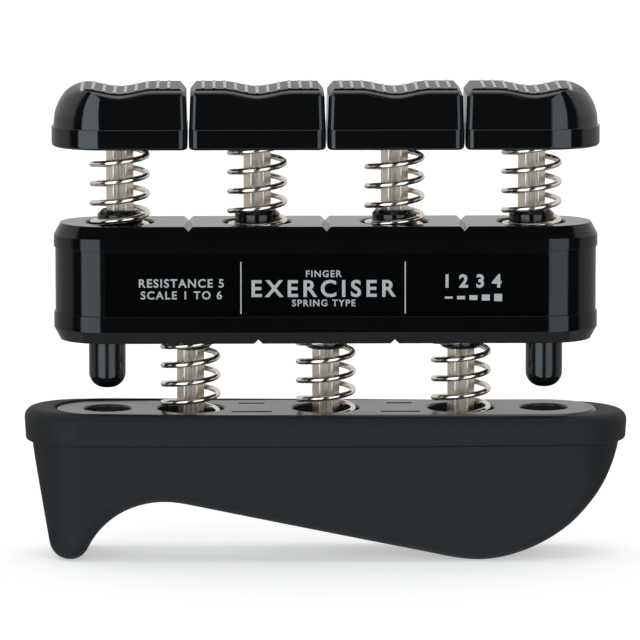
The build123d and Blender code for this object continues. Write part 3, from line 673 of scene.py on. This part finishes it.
def make_grip():
    """The rubber grip as one closed mesh of four-sided faces."""
    line = grip_outline()
    shares = np.linspace(0, 1, STATIONS)
    body = grip_body(line, shares)
    rings = np.stack(rim_rings(shares), 1)
    front = np.concatenate([body, rings], 1)
    stations, across = front.shape[:2]
    mesh = bpy.data.meshes.new("palm_grip_rubber")
    places = np.concatenate([front.reshape(-1, 3), (front * (1, -1, 1)).reshape(-1, 3)]) * MM
    number = np.arange(stations * across).reshape(stations, across)
    near = np.stack([number[:-1, :-1], number[1:, :-1], number[1:, 1:], number[:-1, 1:]], 2)
    far = near[:, :, ::-1] + stations * across
    faces = np.concatenate([near.reshape(-1, 4), far.reshape(-1, 4)])
    mesh.from_pydata(places.tolist(), [], faces.tolist())
    shape = bmesh.new()
    shape.from_mesh(mesh)
    weld(shape, GRIP_WELD * MM)
    shape.to_mesh(mesh)
    shape.free()
    mesh.shade_smooth()
    mesh.set_sharp_from_angle(angle=SHARP_FROM)
    mesh.materials.append(RUBBER)
    grip = collection_object("palm_grip_rubber", mesh)
    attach(grip, "base")
    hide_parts("palm_grip")


make_grip()


# ---------------------------------------------------------------- springs

def wire_nodes():
    """Geometry nodes that turn a chain of edges into round wire."""
    tree = bpy.data.node_groups.new("round_wire", "GeometryNodeTree")
    tree.interface.new_socket("Geometry", in_out="INPUT", socket_type="NodeSocketGeometry")
    tree.interface.new_socket("Geometry", in_out="OUTPUT", socket_type="NodeSocketGeometry")
    chain = add_node(tree, "NodeGroupInput").outputs[0]
    curve = add_node(tree, "GeometryNodeMeshToCurve", {"Mesh": chain}).outputs[0]
    ring = add_node(tree, "GeometryNodeCurvePrimitiveCircle",
                    {"Resolution": WIRE_SIDES, "Radius": WIRE / 2 * MM}).outputs[0]
    wire = add_node(tree, "GeometryNodeCurveToMesh",
                    {"Curve": curve, "Profile Curve": ring, "Fill Caps": True}).outputs[0]
    wire = add_node(tree, "GeometryNodeSetShadeSmooth", {"Geometry": wire}).outputs[0]
    wire = add_node(tree, "GeometryNodeSetMaterial", {"Geometry": wire, "Material": SPRING})
    add_node(tree, "NodeGroupOutput", {0: wire.outputs[0]})
    return tree


WIRE_NODES = wire_nodes()


def make_spring(node, body, pitch, phase):
    """A right-handed coil with closed ends in the CAD spring's place."""
    low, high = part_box(node)
    centre = (low + high) / 2
    height = (high.z - low.z) / MM - WIRE
    active = (height - 2 * CLOSED_PITCH) / pitch
    turns = active + 2
    closed, opened = CLOSED_TURNS
    knots = (0, closed, opened, turns - opened, turns - closed, turns)
    rates = (CLOSED_PITCH, CLOSED_PITCH, pitch, pitch, CLOSED_PITCH, CLOSED_PITCH)
    turn = np.linspace(0, turns, int(turns * STEPS_PER_TURN))
    rate = np.interp(turn, knots, rates)
    climb = np.concatenate([[0], np.cumsum((rate[1:] + rate[:-1]) / 2 * np.diff(turn))])
    climb *= height / climb[-1]
    angle = radians(phase) + 2 * pi * turn
    radius = (SPRING_OUTSIDE - WIRE) / 2 * MM
    places = np.stack([centre.x + radius * np.cos(angle), centre.y + radius * np.sin(angle),
                       low.z + (climb + WIRE / 2) * MM], 1)
    mesh = bpy.data.meshes.new(f"{node}_wire")
    mesh.from_pydata(places.tolist(), [(i, i + 1) for i in range(len(places) - 1)], [])
    mesh.materials.append(SPRING)
    spring = collection_object(f"{node}_wire", mesh)
    spring.modifiers.new("wire", "NODES").node_group = WIRE_NODES
    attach(spring, body)
    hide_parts(node)
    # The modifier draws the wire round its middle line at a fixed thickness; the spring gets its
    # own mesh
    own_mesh(spring)


for number, phase in enumerate(FINGER_PHASES, start=1):
    make_spring(f"finger_spring_{number}", "housing",
                FINGER_PITCH, phase)
for number, phase in enumerate(PALM_PHASES, start=1):
    make_spring(f"palm_spring_{number}", "base",
                PALM_PITCH, phase)


# ---------------------------------------------------------------- print on the label

def letters(text, height, spacing, bold):
    """Flat outline letters as a mesh, of a height in millimetres, centred on the origin."""
    curve = bpy.data.curves.new("letters", "FONT")
    curve.body = text
    curve.size = MM
    curve.space_character = spacing
    curve.offset = bold * MM
    curve.extrude = PRINT_THICKNESS / 2
    curve.resolution_u = LETTER_CURVE_STEPS
    holder = collection_object("letters", curve)
    mesh = bpy.data.meshes.new_from_object(holder)
    bpy.data.objects.remove(holder)
    places = np.array([v.co for v in mesh.vertices])
    low, high = places.min(0), places.max(0)
    mesh.transform(Matrix.Translation(-(low + high) / 2))
    grow = height * MM / (high[1] - low[1])
    mesh.transform(Matrix.Diagonal((grow, grow, 1, 1)))
    return mesh


def make_print():
    """Generic print: two dividers, a resistance scale, the kind of tool, and finger numbers."""
    low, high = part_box("front_label")
    middle = (low + high) / 2
    face = low.y - PRINT_THICKNESS / 2
    shape = bmesh.new()

    def bar(x, z, width, height):
        """A printed rectangle, in millimetres from the middle of the label."""
        size = (width * MM, PRINT_THICKNESS, height * MM, 1)
        place = Matrix.Translation((x * MM, face, middle.z + z * MM))
        bmesh.ops.create_cube(shape, size=1, matrix=place @ Matrix.Diagonal(size))

    for x in DIVIDERS:
        bar(x, DIVIDER_Z, *DIVIDER_SIZE)
    for step in range(SCALE_BARS):
        height = FIRST_BAR + step * BAR_GROWTH
        bar(SCALE_X + step * SCALE_PITCH, SCALE_Z, BAR_WIDTH, height)
    for text, x, z, height, spacing, bold in PRINT_LINES:
        mesh = letters(text, height, spacing, bold)
        place = Matrix.Translation((x * MM, face, middle.z + z * MM))
        mesh.transform(place @ Matrix.Rotation(pi / 2, 4, "X"))
        shape.from_mesh(mesh)
    weld(shape, PRINT_WELD)
    mesh = bpy.data.meshes.new("label_print")
    shape.to_mesh(mesh)
    shape.free()
    mesh.materials.append(INK)
    ink = collection_object("label_print", mesh)
    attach(ink, "housing")


make_print()


# ---------------------------------------------------------------- studio

def window(tree, value, start, end, soft):
    """One inside the span of degrees, fading out over soft degrees at its ends."""
    rise = ramp(tree, value, radians(start - soft), radians(start + soft), 0, 1)
    fall = ramp(tree, value, radians(end - soft), radians(end + soft), 1, 0)
    return math_node(tree, "MULTIPLY", rise, fall)


def make_world():
    """Surroundings of the set: a pale backdrop, a dark gap round the camera, two tall lights."""
    world = bpy.data.worlds.new("studio")
    bpy.context.scene.world = world
    world.use_nodes = True
    tree = world.node_tree
    tree.nodes.clear()
    way = add_node(tree, "ShaderNodeTexCoord").outputs["Generated"]
    way = add_node(tree, "ShaderNodeSeparateXYZ", {0: way})
    ahead = math_node(tree, "MULTIPLY", way.outputs["Y"], -1.0)
    azimuth = math_node(tree, "ARCTAN2", way.outputs["X"], ahead)
    turned = math_node(tree, "ABSOLUTE", azimuth)
    elevation = math_node(tree, "ARCSINE", way.outputs["Z"])
    lights = 0.0
    for span, heights, soft, light in SURROUNDINGS:
        part = math_node(tree, "MULTIPLY", window(tree, azimuth, *span, soft[0]),
                         window(tree, elevation, *heights, soft[1]))
        part = math_node(tree, "MULTIPLY", part, light)
        lights = math_node(tree, "ADD", lights, part)
    backdrop = math_node(tree, "MULTIPLY", ramp(tree, turned, *BACKDROP_SPAN, 0, 1),
                         ramp(tree, elevation, *BACKDROP_RISE, BACKDROP_LOW, 1))
    backdrop = math_node(tree, "MULTIPLY", backdrop, BACKDROP_LIGHT)
    roof = ramp(tree, elevation, *ROOF_RISE, 0, ROOF_LIGHT)
    ground = ramp(tree, elevation, *GROUND_FALL, 0, GROUND_LIGHT)
    total = math_node(tree, "ADD", math_node(tree, "MAXIMUM", backdrop, roof), ground)
    total = math_node(tree, "ADD", total, AMBIENT)
    seen = add_node(tree, "ShaderNodeLightPath").outputs["Is Camera Ray"]
    plain = add_node(tree, "ShaderNodeMix", {0: seen, 2: total, 3: 1.0}).outputs[0]
    tinted = add_node(tree, "ShaderNodeMix", {0: seen, 2: lights, 3: 0.0}).outputs[0]
    plain = add_node(tree, "ShaderNodeBackground", {"Color": WHITE, "Strength": plain})
    tinted = add_node(tree, "ShaderNodeBackground", {"Color": LIGHT_TINT, "Strength": tinted})
    lit = add_node(tree, "ShaderNodeAddShader", {0: plain.outputs[0], 1: tinted.outputs[0]})
    add_node(tree, "ShaderNodeOutputWorld", {"Surface": lit.outputs[0]})


def make_floor():
    """A wide pale floor."""
    material = bpy.data.materials.new("studio_floor")
    material.use_nodes = True
    tree = material.node_tree
    feed(tree, tree.nodes["Principled BSDF"], Base_Color=FLOOR_GREY, Roughness=FLOOR_ROUGHNESS,
         Specular_IOR_Level=0, Emission_Color=WHITE, Emission_Strength=FLOOR_GLOW)
    shape = bmesh.new()
    bmesh.ops.create_grid(shape, x_segments=FLOOR_CELLS, y_segments=FLOOR_CELLS, size=FLOOR_REACH)
    mesh = bpy.data.meshes.new("studio_floor")
    shape.to_mesh(mesh)
    shape.free()
    mesh.materials.append(material)
    floor = collection_object("studio_floor", mesh)
    floor.location.z = FLOOR_HEIGHT
    floor.visible_glossy = False
    floor.visible_diffuse = False
    floor.visible_shadow = False


make_world()
make_floor()
bpy.context.scene.view_settings.view_transform = "Standard"
